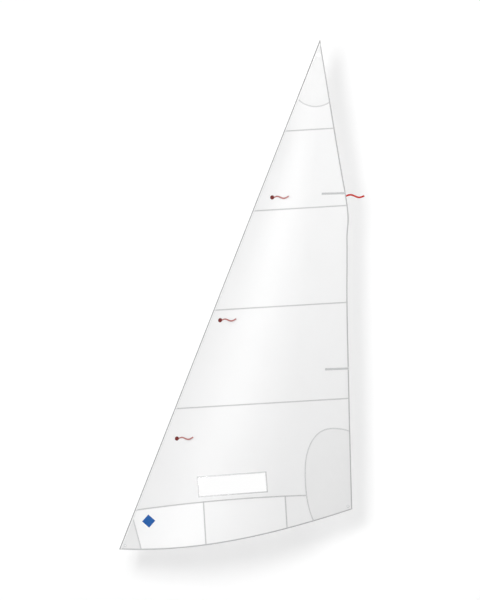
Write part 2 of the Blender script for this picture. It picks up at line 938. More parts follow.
    def leech_s(self, d: Array, inset: float) -> Array:
        """Where the leech crosses the line at d, as s."""
        s, at = self.plan_of(self.leech_point(np.linspace(*self.leech_places), inset))
        return np.interp(d, at, s)

    def foot_d(self, s: Array, inset: float) -> Array:
        """How high the foot lies at s."""
        at, d = self.plan_of(self.foot_point(np.linspace(*self.foot_places), inset))
        return np.interp(s, at, d)

    def cloth_luff(self, d: Array) -> Array:
        """The cloths' front edge, behind the rope, as s over d."""
        return self.luff_s(d, self.luff_inset)

    def cloth_leech(self, d: Array) -> Array:
        """The cloths' back edge, inside the tape's fold, as s over d."""
        return self.leech_s(d, self.fold_inset)

    def cloth_foot(self, s: Array) -> Array:
        """The cloths' low edge, inside the tape's fold, as d over s."""
        return self.foot_d(s, self.fold_inset)

    def top(self, gap: float) -> float:
        """The d at which the cloths' front and back edges have come this near to each other."""
        d = np.linspace(*self.head_places)
        return float(d[np.argmax(self.cloth_leech(d) - self.cloth_luff(d) < gap)])

    def layer(self, number: int) -> tuple[float, float]:
        """The faces of a cloth on a whole-numbered layer, as sideways distances from the surface."""
        middle = number * (self.cloth + self.gap)
        return middle - self.cloth / 2, middle + self.cloth / 2

    def patch_faces(self, side: Side) -> tuple[float, float]:
        """Finds the faces of a corner patch.

        Args:
            side: which of the two patches.

        Returns:
            The low and the high face.
        """
        high = self.layer(0)[0] - self.gap
        low = self.layer(1)[1] + self.gap
        return (high - self.patch, high) if side is Side.PORT else (low, low + self.patch)

    def fold_faces(self, outer: bool) -> tuple[float, float]:
        """The two outer or inner faces of a folded tape."""
        off = self.gap + outer * self.tape
        return self.patch_faces(Side.PORT)[0] - off, self.patch_faces(Side.STARBOARD)[1] + off


@dataclass(frozen=True)
class Strips:
    """Finds the heights between which the cloth has no cross bend: round the three rings and the two battens."""

    plan: SailPlan
    ring_inset: float = 0.022 + 0.014 + 0.002
    ring_room: float = 0.014 + 0.030
    batten_shares: tuple[float, float] = (0.299, 0.671)
    batten_room: float = 0.0226
    pocket: float = 0.2303
    pocket_fall: float = math.radians(2.0)
    past_head: float = 0.08

    def ring(self, corner: Array, one: Array, other: Array) -> float:
        """Height of a corner's ring, which stands clear of both edge tapes on the corner's bisector.

        Args:
            corner: the flat corner.
            one: the way along one edge.
            other: the way along the other.

        Returns:
            Its height.
        """
        bisector = unit(one + other)
        return float((corner + bisector * self.ring_inset / math.sin(math.acos(float(bisector @ one))))[1])

    def find(self) -> tuple[tuple[float, float], ...]:
        """Works out the strips.

        Returns:
            The low and the high end of each, from the tack up.
        """
        plan, room, near = self.plan, self.ring_room, self.plan.near
        head = self.ring(plan.head, -plan.luff_way, unit(plan.leech_point(1 - near) - plan.head))
        tack = self.ring(np.zeros(2), plan.luff_way, unit(plan.foot_point(near)))
        forward, up = (unit(point - plan.clew) for point in (plan.foot_point(1 - near), plan.leech_point(near)))
        clew = self.ring(plan.clew, forward, up)
        strips = [(plan.strips[0][0], tack + room), (clew - room, clew + room)]
        for share in self.batten_shares:
            middle = float(plan.leech_point(share)[1]) - self.pocket * math.sin(self.pocket_fall) / 2
            strips.append((middle - self.batten_room, middle + self.batten_room))
        return (*strips, (head - room, float(plan.head[1]) + self.past_head))


PLAN = SailPlan(strips=Strips(SailPlan()).find())


# Meshes


def quads(index: Array) -> Array:
    """A face for each cell of a grid of vertex numbers."""
    return np.stack([index[:-1, :-1], index[:-1, 1:], index[1:, 1:], index[1:, :-1]], axis=-1).reshape(-1, 4)


def closed(index: Array, axis: int = 1) -> Array:
    """The grid with its first row or column once more at its end."""
    return np.concatenate([index, index.take([0], axis)], axis)


def outline(grid: Array) -> Array:
    """Round a grid once: its first row, last column, last row and first column."""
    return np.concatenate([grid[0], grid[1:, -1], grid[-1, -2::-1], grid[-2:0:-1, 0]])


def sheet_faces(rows: int, columns: int, ring: bool = False) -> Array:
    """Faces of a closed sheet: a grid, the same grid behind it, and a rim that joins them.

    Args:
        rows: grid rows.
        columns: grid columns.
        ring: whether the last column joins the first.

    Returns:
        One row of four vertex numbers for each face.
    """
    count = rows * columns
    index = np.arange(count).reshape(rows, columns)
    index = closed(index) if ring else index
    loops = [index[0], index[-1][::-1]] if ring else [closed(outline(index), 0)]
    near = quads(index)
    return np.concatenate([near, near[:, ::-1] + count, *(quads(np.column_stack([r, r + count])) for r in loops)])


def tube_faces(rows: int, columns: int) -> Array:
    """Faces of a closed profile carried along a path, with both ends shut by strips across the profile.

    Args:
        rows: places along the path.
        columns: points round the profile, an even number.

    Returns:
        One row of four vertex numbers for each face.
    """
    side = np.arange(columns // 2)
    first = quads(np.column_stack([side, columns - 1 - side]))
    walls = quads(closed(np.arange(rows * columns).reshape(rows, columns)))
    return np.concatenate([walls, first, first[:, ::-1] + (rows - 1) * columns])


def grid_area(points: Array) -> float:
    """Area of a grid of points: half the size of the cross product of each cell's diagonals."""
    u, v = points[1:, 1:] - points[:-1, :-1], points[1:, :-1] - points[:-1, 1:]
    return float(np.linalg.norm(np.cross(u, v), axis=2).sum() / 2)


def length_of(points: Array) -> float:
    """Length of the longest line through a grid of points, along its first axis."""
    return float(np.linalg.norm(np.diff(points, axis=0), axis=-1).sum(axis=0).max())


def node_points(name: str) -> Array:
    """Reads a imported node.

    Args:
        name: its name.

    Returns:
        Its vertices, one row for each.
    """
    mesh = frame["nodes"][name].data
    flat = np.empty(3 * len(mesh.vertices), np.float32)
    mesh.vertices.foreach_get("co", flat)
    return flat.reshape(-1, 3).astype(float)


def link(name: str, data: bpy.types.ID) -> bpy.types.Object:
    """Puts new data in the scene.

    Args:
        name: its name.
        data: a mesh, lamp or camera.

    Returns:
        The object that holds it.
    """
    made = bpy.data.objects.new(name, data)
    bpy.context.scene.collection.objects.link(made)
    return made


def put(
    name: str, node: str, points: Array, faces: Array, material: bpy.types.Material,
    plan: Array | None = None, edges: Array | None = None, crease: float = 50.0, body: str = "sail",
) -> bpy.types.Object:
    """Puts a mesh with its faces turned outwards in a node's place.

    Args:
        name: the piece's name.
        node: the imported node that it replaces.
        points: a place for each vertex.
        faces: one row of four vertex numbers for each face.
        material: its only material.
        plan: two numbers for each vertex, or for each on a sheet's first side, kept as the UV map "plan".
        edges: four distances likewise, kept as the attribute "edges".
        crease: the angle in degrees past which an edge shows sharp.
        body: the body that it rides on.

    Returns:
        The object.
    """
    points = points.reshape(-1, 3)
    used, faces = np.unique(faces, return_inverse=True)
    faces = faces.reshape(-1, 4)
    plan = plan if plan is None else np.resize(plan, (len(points), 2))[used]
    edges = edges if edges is None else np.resize(edges, (len(points), 4))[used]
    points = points[used]
    a, b, c, d = (points[faces[:, i]] for i in range(4))
    volume = np.einsum("ij,ij->", a, np.cross(b, c)) + np.einsum("ij,ij->", a, np.cross(c, d))
    mesh = bpy.data.meshes.new(name)
    mesh.from_pydata(points.tolist(), [], (faces[:, ::-1] if volume < 0 else faces).tolist())
    if plan is not None:
        corners = np.empty(len(mesh.loops), np.int32)
        mesh.loops.foreach_get("vertex_index", corners)
        mesh.uv_layers.new(name="plan").data.foreach_set("uv", plan[corners].astype(np.float32).ravel())
    if edges is not None:
        kept = mesh.attributes.new("edges", "FLOAT_COLOR", "POINT")
        kept.data.foreach_set("color", edges.astype(np.float32).ravel())
    mesh.materials.append(material)
    mesh.shade_smooth()
    mesh.set_sharp_from_angle(angle=math.radians(crease))
    made = link(name, mesh)
    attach(made, body)
    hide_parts(node)
    log.info("%s: %d faces, %.0f by %.1f by %.0f mm", name, len(faces), *(1000 * np.ptp(points, axis=0)))
    return made


def coat(node: str, finish: Finish) -> None:
    """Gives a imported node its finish.

    Args:
        node: its name.
        finish: the finish.
    """
    materials = frame["nodes"][node].data.materials
    materials.clear()
    materials.append(finish.dress(node))
    log.info("%s: %s", node, type(finish).__name__)


@dataclass(frozen=True)
class Eye:
    """A round hole through a sheet, for a ring: its middle in the flat and its radius.

    The block of cells that gives way to it keeps clear of it by a share of the radius.
    """

    middle: Array
    radius: float = 0.0085
    rings: int = 5
    clear: float = 1.35
    tries: int = 40

    @staticmethod
    def at(corner: str) -> Eye:
        """The hole for a corner's ring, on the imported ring's axis."""
        return Eye(node_points(f"{corner}_ring").mean(axis=0)[[0, 2]])

    def block(self, flat: Array) -> tuple[int, int, int, int]:
        """The smallest block of a grid round the hole whose sides all lie clear of it.

        Args:
            flat: the grid's flat points.

        Returns:
            First row, last row, first column and last column.
        """
        far = np.linalg.norm(flat - self.middle, axis=2)
        row, column = np.unravel_index(far.argmin(), far.shape)
        top, end, left, right = row - 1, row + 1, column - 1, column + 1
        clear = self.clear * self.radius
        for _ in range(self.tries):
            top -= far[top, left : right + 1].min() < clear and top > 1
            end += far[end, left : right + 1].min() < clear and end < far.shape[0] - 2
            left -= far[top : end + 1, left].min() < clear and left > 1
            right += far[top : end + 1, right].min() < clear and right < far.shape[1] - 2
        return top, end, left, right

    def open(self, flat: Array, numbers: Array, faces: Array) -> tuple[Array, Array, Array]:
        """Cuts the hole into a closed sheet: the block's cells give way to rings that close in on the circle.

        Each ring's points lie on the straight rays from the block's edge to the hole's middle.

        Args:
            flat: flat points of the grid.
            numbers: what is kept for each point, worked out for new points by a plane laid through the block's.
            faces: the closed sheet's faces, near grid first and far grid after it.

        Returns:
            Flat points and numbers of the grid with the new points after it, and the faces for two such layers.
        """
        rows, columns = flat.shape[:2]
        count = rows * columns
        top, end, left, right = self.block(flat)
        inner = np.arange(count).reshape(rows, columns)[top : end + 1, left : right + 1]
        loop, inner = outline(inner), inner.ravel()
        every, kept = flat.reshape(-1, 2), numbers.reshape(count, -1)
        rim = self.middle + self.radius * unit(every[loop] - self.middle)
        t = np.linspace(0, 1, self.rings + 1)[1:, None, None]
        added = (every[loop] + t * (rim - every[loop])).reshape(-1, 2)
        known, new = (np.column_stack([np.ones(len(points)), points]) for points in (every[inner], added))
        slopes, *_ = np.linalg.lstsq(known, kept[inner], rcond=None)
        total = count + len(added)
        rings = closed(np.concatenate([loop[None], count + np.arange(len(added)).reshape(self.rings, -1)]))
        web, wall = quads(rings), quads(np.stack([rings[-1], rings[-1] + total]))
        one_layer = (faces < count).all(axis=1) | (faces >= count).all(axis=1)
        faces = faces[~(np.isin(faces % count, inner).all(axis=1) & one_layer)]
        faces = np.where(faces >= count, faces + len(added), faces)
        faces = np.concatenate([faces, web, web[:, ::-1] + total, wall])
        return np.concatenate([every, added]), np.concatenate([kept, new @ slopes]), faces


Bound = Callable[[Array], Array]


@dataclass(frozen=True)
class Cut:
    """A cloth's plan: two edges given as d over s, and two given as s over d."""

    low: Bound
    high: Bound
    forward: Bound
    aft: Bound

    def grid(self, rows: int, columns: int) -> tuple[Array, Array]:
        """Even rows from the low to the high edge and even columns between the other two.

        Both conditions hold at once at the point that is found by putting each into the other, over and over.

        Args:
            rows: how many rows.
            columns: how many columns.

        Returns:
            s and d over the grid.
        """
        u, v = np.meshgrid(np.linspace(0, 1, columns), np.linspace(0, 1, rows))
        s = u
        for _ in range(ROUNDS):
            d = self.low(s) + v * (self.high(s) - self.low(s))
            s = self.forward(d) + u * (self.aft(d) - self.forward(d))
        return s, d

    def insets(self, s: Array, d: Array) -> Array:
        """Distances from the low, high, forward and aft edges."""
        return np.stack([d - self.low(s), self.high(s) - d, s - self.forward(d), self.aft(d) - s], axis=-1)


def level(value: float) -> Bound:
    """An edge that stays at one distance."""
    return partial(np.full_like, fill_value=value)


@dataclass
class Sheet:
    """One sheet of cloth or film that lies on the sail's surface, and what it stands for."""

    node: str
    slot: str
    material: bpy.types.Material
    faces: tuple[float, float]
    s: Array
    d: Array
    edges: Array
    ring: bool = False
    eye: Eye | None = None
    rests_on: tuple[str, ...] = ()

    def build(self) -> None:
        """Builds the sheet with its real thickness, and states its area and its cut size.

        The cut size is the plan's own box, its width drawn out by the camber that it takes up.
        """
        flat, edges = PLAN.flat_of(self.s, self.d), self.edges
        area = grid_area(PLAN.lay(flat, self.faces[0]))
        drawn = area / grid_area(np.stack([self.s, self.d, 0 * self.s], axis=-1))
        faces = sheet_faces(*self.s.shape, self.ring)
        if self.eye:
            flat, edges, faces = self.eye.open(flat, edges, faces)
        points = np.stack([PLAN.lay(flat, face) for face in self.faces])
        plan = np.stack(PLAN.plan_of(flat), axis=-1)
        made = put(f"{self.node}_cloth", self.node, points, faces, self.material, plan, edges)


# Sub-assemblies


@dataclass
class Body:
    """The five cloths from luff to leech and the three foot cloths under the bowed seam."""

    finish: ClothFinish
    lap: float = 0.012
    tops: tuple[float, ...] = (1.2885, 2.191, 3.100, 3.832)
    tip: float = 0.005
    crest: float = 0.408
    crest_place: float = 1.38
    radius: float = 14.7
    cross: tuple[float, float] = (0.8165, 1.5863)
    spacing: float = 0.014
    fewest: int = 12
    whiter: tuple[tuple[str, float], ...] = (("tack_foot_panel", 1.08), ("middle_foot_panel", 1.03))
    ringed: tuple[tuple[str, str], ...] = (
        ("head_panel", "head"), ("tack_foot_panel", "tack"), ("clew_foot_panel", "clew"),
    )

    def foot_seam(self, s: Array, shift: float = 0.0) -> Array:
        """The bowed seam's d over s: highest at its crest, falling with the square of the distance from it."""
        return self.crest + shift - (s - self.crest_place) ** 2 / (2 * self.radius)

    def counts(self, cut: Cut) -> tuple[int, int]:
        """Rows and columns that keep the grid spacing over a plan."""
        s, d = cut.grid(3, 3)
        return max(self.fewest, int(np.ptp(d) / self.spacing)), max(self.fewest, int(np.ptp(s) / self.spacing))

    def cuts(self) -> dict[str, tuple[Cut, int, tuple[Edge, ...]]]:
        """Works out every cloth, the full ones from the foot seam up and then the foot's from the tack aft.

        Returns:
            The plan, layer and sewn edges of each, by name.
        """
        half, luff, leech, foot = self.lap / 2, PLAN.cloth_luff, PLAN.cloth_leech, PLAN.cloth_foot
        seam, under = partial(self.foot_seam, shift=half), partial(self.foot_seam, shift=-half)
        names = ("window_panel", "lower_panel", "middle_panel", "upper_panel", "head_panel")
        lows = [under, *(level(top - half) for top in self.tops)]
        highs = [*(level(top + half) for top in self.tops), level(PLAN.top(self.tip))]
        sewn = [(Edge.LOW, Edge.HIGH)] * len(self.tops) + [(Edge.LOW,)]
        cuts = {name: (Cut(lows[i], highs[i], luff, leech), i % 2, sewn[i]) for i, name in enumerate(names)}
        first, second = self.cross
        high, forward, aft = Edge.HIGH, Edge.FORWARD, Edge.AFT
        return cuts | {
            "tack_foot_panel": (Cut(foot, seam, luff, level(first + half)), 1, (high, aft)),
            "middle_foot_panel": (Cut(foot, seam, level(first - half), level(second + half)), -1, (high, forward, aft)),
            "clew_foot_panel": (Cut(foot, seam, level(second - half), leech), 1, (high, forward)),
        }

    def laps_at_luff(self) -> tuple[float, ...]:
        """Finds where the middle of each lap meets the luff, the bowed one by repeating.

        Returns:
            Metres above the tack.
        """
        d = np.array([self.crest, *self.tops])
        for _ in range(ROUNDS):
            d[0] = self.foot_seam(PLAN.luff_s(d[0], 0.0))
        return tuple(float(v) for v in d / (PLAN.luff_way @ PLAN.square))

    def build(self, window: Window) -> None:
        """Builds every cloth.

        Args:
            window: the opening that one of them is laid round as a ring.
        """
        for name, (cut, layer, sewn) in self.cuts().items():
            finish = replace(self.finish.toned(dict(self.whiter).get(name, 1.0)), sewn=sewn)
            ring, corner = name == "window_panel", dict(self.ringed).get(name)
            s, d = window.ring_grid(cut) if ring else cut.grid(*self.counts(cut))
            Sheet(
                name, "sailcloth", finish.dress(f"{name}_cloth"), PLAN.layer(layer), s, d, cut.insets(s, d), ring,
                Eye.at(corner) if corner else None,
            ).build()


@dataclass
class Window:
    """A clear rectangle let into the cloth above the foot seam, lapped over its edges on the port side."""

    finish: FilmFinish
    width: float = 0.656
    height: float = 0.197
    place: tuple[float, float] = (1.098, 0.546)
    rise: float = math.radians(4.2)
    lap: float = 0.012
    cells: tuple[int, int] = (130, 64)
    film_points: tuple[int, int] = (90, 30)
    rings: int = 46
    gather: float = 1.25

    def at(self, u: Array, v: Array, inset: float) -> Array:
        """Places on the rectangle.

        Args:
            u: places across, from -1 to 1.
            v: places up, from -1 to 1.
            inset: how far the rectangle is drawn in all round.

        Returns:
            s and d.
        """
        lean = self.rise - PLAN.seam_rise
        a, b = u * (self.width / 2 - inset), v * (self.height / 2 - inset)
        s = self.place[0] + a * math.cos(lean) - b * math.sin(lean)
        return np.stack([s, self.place[1] + a * math.sin(lean) + b * math.cos(lean)])

    def ring_grid(self, cut: Cut) -> Array:
        """A grid round the opening, whose rings gather toward it and whose rays run straight to the cloth's edge.

        Args:
            cut: the cloth's plan.

        Returns:
            s and d, the opening's edge first.
        """
        wide, tall = (count + 1 for count in self.cells)
        square = np.meshgrid(np.linspace(-1, 1, wide), np.linspace(-1, 1, tall))
        inner = self.at(*(outline(grid) for grid in square), self.lap)[:, None]
        outer = np.stack([outline(grid) for grid in cut.grid(tall, wide)])[:, None]
        return inner + (np.linspace(0, 1, self.rings) ** self.gather)[:, None] * (outer - inner)

    def build(self) -> None:
        """Builds the film."""
        u, v = np.meshgrid(*(np.linspace(-1, 1, count) for count in self.film_points))
        s, d = self.at(u, v, 0.0)
        wide, tall = self.width / 2, self.height / 2
        edges = np.stack([(1 + v) * tall, (1 - v) * tall, (1 + u) * wide, (1 - u) * wide], axis=-1)
        material, under = self.finish.dress("window_film"), ("window_panel_cloth",)
        Sheet("window_film", "window_film", material, PLAN.layer(-1), s, d, edges, rests_on=under).build()


@dataclass
class CornerPatches:
    """A stiff patch on both faces of each corner, sewn down along its free edge."""

    finish: ClothFinish
    head_length: float = 0.637
    head_radius: float = 0.238
    tack_luff: float = 0.346
    tack_foot: float = 0.210
    clew_centre: tuple[float, float] = (-0.183, 0.351)
    clew_forward: float = 0.265
    clew_aft: float = 0.398
    clew_up: float = 0.414
    clew_down: float = 0.611
    clew_power: float = 2.2
    tip: float = 0.002
    head_sweep: float = 70.0
    clew_sweep: tuple[float, float] = (30.0, 260.0)
    rays: int = 72
    rows: int = 60
    short: float = 0.985
    arc_points: int = 4001
    oval_points: int = 6001
    past: float = 0.05
    tack_places: tuple[float, float, int] = (0.0, 0.05, 2001)
    clew_places: tuple[float, float, int] = (0.95, 1.01, 3001)
    stride: int = 4

    def head(self) -> tuple[Array, Array]:
        """A circle's arc across the head.

        Returns:
            The free edge's flat points, and the corner that the rays run from.
        """
        bisector = unit(unit(PLAN.leech_point(1 - PLAN.near) - PLAN.head) - PLAN.luff_way)
        middle = PLAN.head + (self.head_length - self.head_radius) * bisector
        sweep = np.radians(np.linspace(-self.head_sweep, self.head_sweep, self.arc_points))
        angles = math.atan2(bisector[1], bisector[0]) + sweep
        d = np.array(PLAN.top(self.tip))
        corner = PLAN.flat_of(PLAN.cloth_luff(d) + self.tip / 2, d)
        return middle + self.head_radius * np.stack([np.cos(angles), np.sin(angles)], axis=-1), corner

    def tack(self) -> tuple[Array, Array]:
        """A straight line from foot to luff.

        Returns:
            The free edge's flat points, and the corner that the rays run from.
        """
        foot = PLAN.foot_point(self.tack_foot / PLAN.foot)
        run = PLAN.foot_point(np.linspace(*self.tack_places), PLAN.fold_inset)
        share = np.linspace(-self.past, 1 + self.past, self.arc_points)[:, None]
        line = foot + share * (self.tack_luff * PLAN.luff_way - foot)
        return line, run[np.argmax(run @ PLAN.luff_aft > PLAN.luff_inset)]

    def clew(self) -> tuple[Array, Array]:
        """A squarish oval from the leech over the top to the foot: |x|^p + |z|^p = 1, its four half-widths unlike.

        Returns:
            The free edge's flat points, and the corner that the rays run from.
        """
        angles = np.radians(np.linspace(*self.clew_sweep, self.oval_points))
        across, up = np.cos(angles), np.sin(angles)
        wide = np.where(across > 0, self.clew_aft, self.clew_forward)
        tall = np.where(up > 0, self.clew_up, self.clew_down)
        x, z = (half * np.sign(t) * np.abs(t) ** (2 / self.clew_power) for half, t in ((wide, across), (tall, up)))
        run = PLAN.foot_point(np.linspace(*self.clew_places), PLAN.fold_inset)
        s, d = PLAN.plan_of(run)
        corner = run[np.argmax(s > PLAN.cloth_leech(d))]
        return PLAN.clew + np.array(self.clew_centre) + np.stack([x, z], axis=-1), corner

    def inside(self, flat: Array) -> Array:
        """Which flat points lie inside the cloths' edge."""
        s, d = PLAN.plan_of(flat)
        return (s > PLAN.cloth_luff(d)) & (s < PLAN.cloth_leech(d)) & (d > PLAN.cloth_foot(s))

    def build(self) -> None:
        """Builds the six patches: rays to the free edge from the cloths' corner, just inside which they stop."""
        material = self.finish.dress("patch_cloth")
        for name, (curve, corner) in {"head": self.head(), "tack": self.tack(), "clew": self.clew()}.items():
            kept = curve[self.inside(curve)]
            rim = kept[np.linspace(0, len(kept) - 1, self.rays).astype(int)]
            flat = rim + np.linspace(0, self.short, self.rows)[:, None, None] * (corner - rim)
            free = np.linalg.norm(flat[:, :, None] - kept[None, None, :: self.stride], axis=-1).min(axis=2)
            run = np.linalg.norm(np.diff(rim, axis=0, prepend=rim[:1]), axis=1).cumsum()
            far = np.ones_like(free)
            edges = np.stack([free, run * far, far, far], axis=-1)
            for side in Side:
                node, faces = f"{name}_patch_{side.word}", PLAN.patch_faces(side)
                Sheet(node, "patch_cloth", material, faces, *PLAN.plan_of(flat), edges, eye=Eye.at(name)).build()


@dataclass
class EdgeTapes:
    """Tape folded over all three edges. Along the luff it is folded round the rope as well.

    It leaves the rope bare for this many degrees either side of straight aft, where the leaves start.
    """

    luff_finish: TapeFinish
    free_finish: TapeFinish
    luff_width: float = 0.022
    free_width: float = 0.012
    leaf: tuple[float, ...] = (1.0, 0.6)
    luff_leaf: tuple[float, ...] = (1.0, 0.6, 0.42)
    luff_steps: int = 240
    bare: float = 48.0
    fold_points: int = 9
    wrap_points: int = 25
    look_points: int = 6001
    past: float = 0.05
    near: float = 0.02

    def fold(self) -> tuple[Array, Array]:
        """A folded tape's section as a closed loop: out along one face, round the fold and back inside.

        Returns:
            Distances in from the edge, and sideways distances from the surface.
        """
        turn = np.linspace(-math.pi / 2, math.pi / 2, self.fold_points)
        leaf = self.free_width * np.array(self.leaf)
        faces = []
        for outer in (True, False):
            low, high = PLAN.fold_faces(outer)
            half, start = (high - low) / 2, 0.0 if outer else PLAN.tape
            inset = np.concatenate([leaf, start + half * (1 - np.cos(turn)), leaf[::-1]])
            side = np.concatenate([[low, low], (low + high) / 2 + half * np.sin(turn), [high, high]])
            faces.append(np.stack([inset, side]))
        insets, sides = np.concatenate([faces[0], faces[1][:, ::-1]], axis=1)
        return insets, sides

    def spans(
        self, point: Callable[[Array, float], Array], insets: Array, tests: tuple[Bound, Bound],
        bounds: tuple[float, float],
    ) -> Array:
        """Where each line of a tape starts and ends, so that its ends are mitred on what it meets.

        Args:
            point: the edge's points from places along it and an inset.
            insets: one inset for each line.
            tests: two functions of flat points that turn positive once a point is past the start and the end.
            bounds: the places between which to look.

        Returns:
            The starts and the ends.
        """
        places = np.linspace(*bounds, self.look_points)
        lines = [point(places, inset) for inset in insets]
        return np.array([[places[np.argmax(past(line) > 0)] for line in lines] for past in tests])

    def past_foot(self, flat: Array) -> Array:
        """Positive above the foot."""
        s, d = PLAN.plan_of(flat)
        return d - PLAN.foot_d(s, 0.0)

    def past_leech(self, flat: Array, inset: float = 0.0, above: float = 3.0) -> Array:
        """Positive aft of a line along the leech, at least this high up."""
        s, d = PLAN.plan_of(flat)
        return np.where(d > above, s - PLAN.leech_s(d, inset), -1.0)

    def past_luff(self, flat: Array) -> Array:
        """Positive aft of the luff tape."""
        return flat @ PLAN.luff_aft - (self.luff_width + PLAN.gap)

    def before_luff(self, flat: Array) -> Array:
        """Positive once the luff tape is reached from aft."""
        return -self.past_luff(flat)

    def sew(self, node: str, points: Array, along: Array, insets: Array, cuts: Array, finish: TapeFinish) -> None:
        """Args:
            node: the node that it stands for.
            points: the section's points at each place along the edge.
            along: metres along the edge at each of them.
            insets: metres in from the edge round the section.
            cuts: metres from the nearer cut end at each of them.
            finish: its finish.
        """
        plan, edges = np.stack(np.broadcast_arrays(along, insets), axis=-1), np.repeat(cuts[..., None], 4, axis=-1)
        faces, material, leaf = tube_faces(*cuts.shape), finish.dress(node), points[:, : cuts.shape[1] // 2]
        made = put(f"{node}_folded", node, points, faces, material, plan, edges, crease=40.0)
        area, up = grid_area(leaf), length_of(leaf)

    def build_luff(self) -> None:
        """The luff tape: round the rope by way of the front, then two leaves that follow the cloth's slope aft."""
        leaf, edge = self.luff_width * np.array(self.luff_leaf), len(self.luff_leaf)
        turn = np.radians(np.linspace(self.bare, 360 - self.bare, self.wrap_points))
        insets, ends = (
            np.concatenate([leaf, middle, leaf[::-1]]) for middle in (0 * turn, PLAN.bead * (1 + np.cos(turn)))
        )
        tests, bounds = (self.past_foot, self.past_leech), (-self.past, PLAN.luff + self.past)
        start, stop = self.spans(PLAN.luff_point, ends, tests, bounds)
        share = np.linspace(0, 1, self.luff_steps)[:, None]
        places = start + share * (stop - start)
        heights = PLAN.luff_point(PLAN.luff * share[:, 0])[:, 1]
        slope = -sum(np.interp(heights, PLAN.heights, table) for table in (PLAN.entries, PLAN.twists))
        angles = np.arctan(slope)[:, None] - turn

        def loop(radius: float, faces: tuple[float, float]) -> Array:
            """One face of the tape: leaf, round the rope by way of the front, and the other leaf.

            Args:
                radius: how far it is from the rope's middle.
                faces: how far each leaf is from the surface.

            Returns:
                Its points at each place along the luff.
            """
            reach = np.broadcast_to(insets, places.shape).copy()
            reach[:, edge:-edge] = PLAN.bead + radius * np.cos(angles)
            laid = PLAN.lay(PLAN.luff_point(places, reach))
            laid[:, :edge, 1] += faces[0]
            laid[:, -edge:, 1] += faces[1]
            laid[:, edge:-edge, 1] = radius * np.sin(angles)
            return laid

        outer, inner = loop(PLAN.bead, PLAN.fold_faces(True)), loop(PLAN.rope + PLAN.gap, PLAN.fold_faces(False))
        foot, leech = unit(PLAN.foot_point(self.near)), unit(PLAN.leech_point(1 - self.near) - PLAN.head)
        from_foot, from_head = (
            run * abs(PLAN.luff_way @ right_of(way)) for run, way in ((places - start, foot), (stop - places, leech))
        )
        along, insets, cuts = (
            np.concatenate([v, v[..., ::-1]], axis=-1) for v in (places, insets, np.minimum(from_foot, from_head))
        )
        self.sew("luff_tape", np.concatenate([outer, inner[:, ::-1]], axis=1), along, insets, cuts, self.luff_finish)

    def build(self) -> None:
        """Builds the three tapes."""
        self.build_luff()
        insets, sides = self.fold()
        past_leech = partial(self.past_leech, inset=self.free_width + PLAN.gap, above=-1.0)
        for node, point, tests, bounds, steps in (
            ("leech_tape", PLAN.leech_point, (self.past_foot, self.before_luff), (-0.02, 1.02), 360),
            ("foot_tape", PLAN.foot_point, (self.past_luff, past_leech), (-0.01, 1.02), 200),
        ):
            start, stop = self.spans(point, insets, tests, bounds)
            places = start + np.linspace(0, 1, steps)[:, None] * (stop - start)
            points = PLAN.lay(point(places, insets), sides)
            run = np.linalg.norm(np.diff(points[:, 0], axis=0, prepend=points[:1, 0]), axis=1).cumsum()
            self.sew(node, points, run[:, None], insets, np.ones_like(places), self.free_finish)


@dataclass(frozen=True)
class Seat:
    """A place on the sail with its own axes: x aft or out of the pocket, z away from the cloth."""

    origin: Array
    x: Array
    y: Array
    z: Array

    def out(self, local: Array) -> Array:
        """Local points in the sail's frame."""
        return self.origin + local[..., 0:1] * self.x + local[..., 1:2] * self.y + local[..., 2:3] * self.z

    @staticmethod
    def facing(origin: Array, axis: list[float]) -> Seat:
        """Lays a seat on an axis.

        Args:
            origin: its place.
            axis: the way of its z.

        Returns:
            The seat, with its x as near aft as that allows.
        """
        z = unit(np.array(axis, float))
        x = unit(np.array((1.0, 0.0, 0.0)) - z * z[0])
        return Seat(np.array(origin, float), x, np.cross(z, x), z)


def joint(name: str) -> dict[str, object]:
    """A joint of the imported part."""
    return next(known for known in frame["joints"] if known["name"] == name)


@dataclass
class Ribbon:
    """A spun nylon ribbon that lies along the cloth and waves from side to side as the wind leaves it.

    The wave is its middle, its swing, a crest's place and its length. The ribbon is held flat for its first stretch.
    """

    name: str
    slot: str
    finish: RibbonFinish
    length: float
    held: float
    up: float
    hollow: float
    wave: tuple[float, float, float, float]
    thickness: float = 0.0003
    stand: float = 0.0006
    lift: float = 0.05
    curl: float = 0.0022
    curl_length: float = 0.053
    cup: float = 0.0005
    loosens: float = 0.02
    points: tuple[int, int] = (150, 9)

    def build(self) -> None:
        """Builds the ribbon: a grid along and across, its middle line a cosine, leaving the cloth as it goes."""
        middle, swing, crest, length = self.wave
        width, (long, wide) = self.finish.width, self.points
        along, across = np.linspace(-width / 2, self.length, long)[:, None], np.linspace(-0.5, 0.5, wide) * width
        grow = smooth(np.clip(along / self.held, 0, 1))
        aside = self.up * grow * (middle + swing * np.cos(2 * math.pi * (along - crest) / length))
        heading = np.gradient(aside[:, 0], along[:, 0])[:, None]
        lean = 1 / np.sqrt(1 + heading**2)
        x, y = along - across * (heading * lean), aside + across * lean
        free = np.clip(along - self.held, 0, None)
        curl = self.curl * grow * np.sin(2 * math.pi * along / self.curl_length) * across / width
        cup = self.cup * grow * (1 - (2 * across / width) ** 2)
        base = self.stand + self.lift * free + self.hollow * free**2
        base = base + (curl + cup) * np.clip(free / self.loosens, 0, 1)
        faces = np.stack([np.stack([x, y, base + high], axis=-1) for high in (0.0, self.thickness)])
        plan = np.stack(np.broadcast_arrays(along + 1.0, across), axis=-1)
        hinge = joint(f"{self.name}_swing")
        points = Seat.facing(hinge["pos_m"], hinge["axis"]).out(faces)
        material = self.finish.dress(self.name)
        made = put(
            f"{self.name}_ribbon", self.name, points, sheet_faces(*x.shape), material, plan, body=self.name
        )


